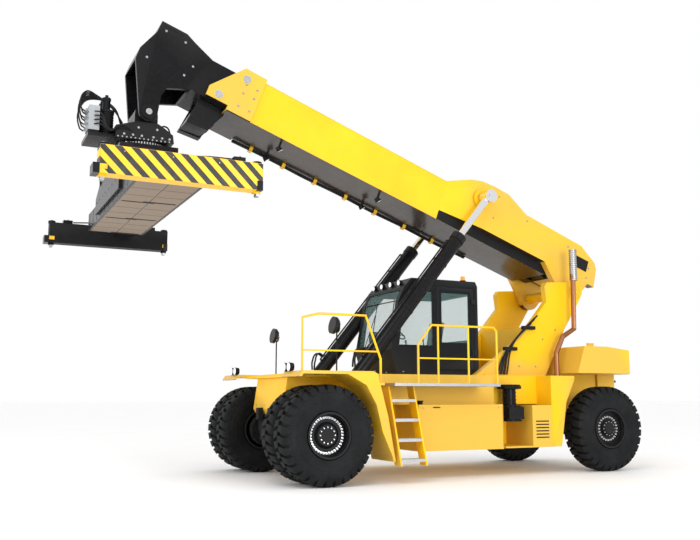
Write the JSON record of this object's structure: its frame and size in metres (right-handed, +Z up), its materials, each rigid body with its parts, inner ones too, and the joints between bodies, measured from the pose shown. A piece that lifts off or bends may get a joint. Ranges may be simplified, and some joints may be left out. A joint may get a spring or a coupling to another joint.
{
  "type": "reach stacker",
  "caption": "Wheeled container handler with a telescopic boom, a slewing extendable spreader, a raised cab and a rear counterweight.",
  "frame": {"origin": "on the floor, under the centre of the machine's bounding box", "axes": "+Z up, the spreader and boom head towards -Y, the counterweight towards +Y, the machine's left side towards +X"},
  "size_m": [6.093, 11.325, 8.01],
  "materials": {
    "yellow_paint": "satin",
    "black_paint": "gloss",
    "cab_paint": "satin",
    "axle_iron": "matte",
    "engine_iron": "matte",
    "galvanised_steel": "matte",
    "tyre_rubber": "matte",
    "chrome_rod": "gloss",
    "seat_vinyl": "matte",
    "console_plastic": "matte",
    "lock_steel": "satin",
    "exhaust_steel": "satin"
  },
  "bodies": {
    "chassis": {"chassis_frame": "yellow_paint", "drive_axle": "axle_iron", "steer_axle": "axle_iron", "left_fender": "yellow_paint", "right_fender": "yellow_paint", "left_tank": "yellow_paint", "right_tank": "yellow_paint", "counterweight": "yellow_paint", "engine_block": "engine_iron", "walkway": "galvanised_steel", "access_ladder": "galvanised_steel", "front_rail": "yellow_paint", "rear_rail": "yellow_paint", "air_cleaner": "black_paint", "battery_box": "yellow_paint", "exhaust": "exhaust_steel", "left_mirror": "black_paint", "right_mirror": "black_paint", "cab_shell": "cab_paint", "operator_seat": "seat_vinyl", "steering_console": "console_plastic", "tower": "yellow_paint"},
    "cab_door": {"cab_door": "cab_paint"},
    "outer_boom": {"outer_boom": "yellow_paint"},
    "inner_boom": {"inner_boom": "black_paint"},
    "hanger": {"rotator_hanger": "black_paint"},
    "slew_frame": {"slew_frame": "black_paint"},
    "spreader": {"spreader_frame": "black_paint"},
    "left_beam": {"left_end_beam": "yellow_paint"},
    "right_beam": {"right_end_beam": "yellow_paint"},
    "left_front_twistlock": {"left_front_twistlock": "lock_steel"},
    "left_rear_twistlock": {"left_rear_twistlock": "lock_steel"},
    "left_lift_barrel": {"left_lift_barrel": "black_paint"},
    "left_lift_rod": {"left_lift_rod": "chrome_rod"},
    "right_front_twistlock": {"right_front_twistlock": "lock_steel"},
    "right_rear_twistlock": {"right_rear_twistlock": "lock_steel"},
    "right_lift_barrel": {"right_lift_barrel": "black_paint"},
    "right_lift_rod": {"right_lift_rod": "chrome_rod"},
    "left_knuckle": {"left_knuckle": "axle_iron"},
    "front_left_wheel": {"front_left_outer_tyre": "tyre_rubber", "front_left_inner_tyre": "tyre_rubber", "front_left_rim": "black_paint"},
    "rear_left_wheel": {"rear_left_tyre": "tyre_rubber", "rear_left_rim": "black_paint"},
    "right_knuckle": {"right_knuckle": "axle_iron"},
    "front_right_wheel": {"front_right_outer_tyre": "tyre_rubber", "front_right_inner_tyre": "tyre_rubber", "front_right_rim": "black_paint"},
    "rear_right_wheel": {"rear_right_tyre": "tyre_rubber", "rear_right_rim": "black_paint"}
  },
  "joints": [
    {"name": "boom_lift", "type": "hinge", "parent": "chassis", "child": "outer_boom", "pos_m": [0, 4.38, 3.6], "axis": [-1, 0, 0], "range_deg": [-20, 40]},
    {"name": "boom_telescope", "type": "slide", "parent": "outer_boom", "child": "inner_boom", "axis": [0, 0.9397, -0.342], "range_m": [-6.8, 0]},
    {"name": "hanger_swing", "type": "hinge", "parent": "inner_boom", "child": "hanger", "pos_m": [0, -4.48051, 6.3099], "axis": [1, 0, 0], "range_deg": [-25, 45]},
    {"name": "spreader_slew", "type": "hinge", "parent": "hanger", "child": "slew_frame", "pos_m": [0, -4.48051, 5.7999], "axis": [0, 0, 1], "range_deg": [-105, 195]},
    {"name": "side_shift", "type": "slide", "parent": "slew_frame", "child": "spreader", "axis": [1, 0, 0], "range_m": [-0.8, 0.8]},
    {"name": "left_extend", "type": "slide", "parent": "spreader", "child": "left_beam", "axis": [1, 0, 0], "range_m": [0, 3.05]},
    {"name": "right_extend", "type": "slide", "parent": "spreader", "child": "right_beam", "axis": [-1, 0, 0], "range_m": [0, 3.05]},
    {"name": "left_front_twistlock_turn", "type": "hinge", "parent": "left_beam", "child": "left_front_twistlock", "pos_m": [2.9265, -5.61001, 4.4349], "axis": [0, 0, 1], "range_deg": [0, 90]},
    {"name": "left_rear_twistlock_turn", "type": "hinge", "parent": "left_beam", "child": "left_rear_twistlock", "pos_m": [2.9265, -3.35101, 4.4349], "axis": [0, 0, 1], "range_deg": [0, 90]},
    {"name": "left_barrel_swing", "type": "hinge", "parent": "chassis", "child": "left_lift_barrel", "pos_m": [0.92, -0.74, 1.75], "axis": [-1, 0, 0], "range_deg": [-4, 2]},
    {"name": "left_rod_slide", "type": "slide", "parent": "left_lift_barrel", "child": "left_lift_rod", "axis": [0, 0.6339, 0.7734], "range_m": [-0.95, 1.9]},
    {"name": "right_front_twistlock_turn", "type": "hinge", "parent": "right_beam", "child": "right_front_twistlock", "pos_m": [-2.9265, -5.61001, 4.4349], "axis": [0, 0, 1], "range_deg": [0, 90]},
    {"name": "right_rear_twistlock_turn", "type": "hinge", "parent": "right_beam", "child": "right_rear_twistlock", "pos_m": [-2.9265, -3.35101, 4.4349], "axis": [0, 0, 1], "range_deg": [0, 90]},
    {"name": "right_barrel_swing", "type": "hinge", "parent": "chassis", "child": "right_lift_barrel", "pos_m": [-0.92, -0.74, 1.75], "axis": [-1, 0, 0], "range_deg": [-4, 2]},
    {"name": "right_rod_slide", "type": "slide", "parent": "right_lift_barrel", "child": "right_lift_rod", "axis": [0, 0.6339, 0.7734], "range_m": [-0.95, 1.9]},
    {"name": "front_left_spin", "type": "hinge", "parent": "chassis", "child": "front_left_wheel", "pos_m": [1.556, -1.74, 0.82], "axis": [1, 0, 0], "continuous": true},
    {"name": "left_steer", "type": "hinge", "parent": "chassis", "child": "left_knuckle", "pos_m": [1.2, 4.466, 0.82], "axis": [0, 0, 1], "range_deg": [-40, 40]},
    {"name": "rear_left_spin", "type": "hinge", "parent": "left_knuckle", "child": "rear_left_wheel", "pos_m": [1.487, 4.466, 0.82], "axis": [1, 0, 0], "continuous": true},
    {"name": "front_right_spin", "type": "hinge", "parent": "chassis", "child": "front_right_wheel", "pos_m": [-1.556, -1.74, 0.82], "axis": [1, 0, 0], "continuous": true},
    {"name": "right_steer", "type": "hinge", "parent": "chassis", "child": "right_knuckle", "pos_m": [-1.2, 4.466, 0.82], "axis": [0, 0, 1], "range_deg": [-40, 40]},
    {"name": "rear_right_spin", "type": "hinge", "parent": "right_knuckle", "child": "rear_right_wheel", "pos_m": [-1.487, 4.466, 0.82], "axis": [1, 0, 0], "continuous": true},
    {"name": "cab_door_swing", "type": "hinge", "parent": "chassis", "child": "cab_door", "pos_m": [0.7633, 1.965, 1.8403], "axis": [0, 0, 1], "range_deg": [0, 95]}
  ],
  "couplings": [
    {"joint": "hanger_swing", "follows": "boom_lift", "ratio": 1},
    {"joint": "right_extend", "follows": "left_extend", "ratio": 1},
    {"joint": "left_rear_twistlock_turn", "follows": "left_front_twistlock_turn", "ratio": 1},
    {"joint": "left_barrel_swing", "follows": "boom_lift", "ratio": -0.09},
    {"joint": "left_rod_slide", "follows": "boom_lift", "m_per_rad": 2.676},
    {"joint": "right_front_twistlock_turn", "follows": "left_front_twistlock_turn", "ratio": 1},
    {"joint": "right_rear_twistlock_turn", "follows": "left_front_twistlock_turn", "ratio": 1},
    {"joint": "right_barrel_swing", "follows": "boom_lift", "ratio": -0.09},
    {"joint": "right_rod_slide", "follows": "boom_lift", "m_per_rad": 2.676},
    {"joint": "right_steer", "follows": "left_steer", "ratio": 1}
  ]
}
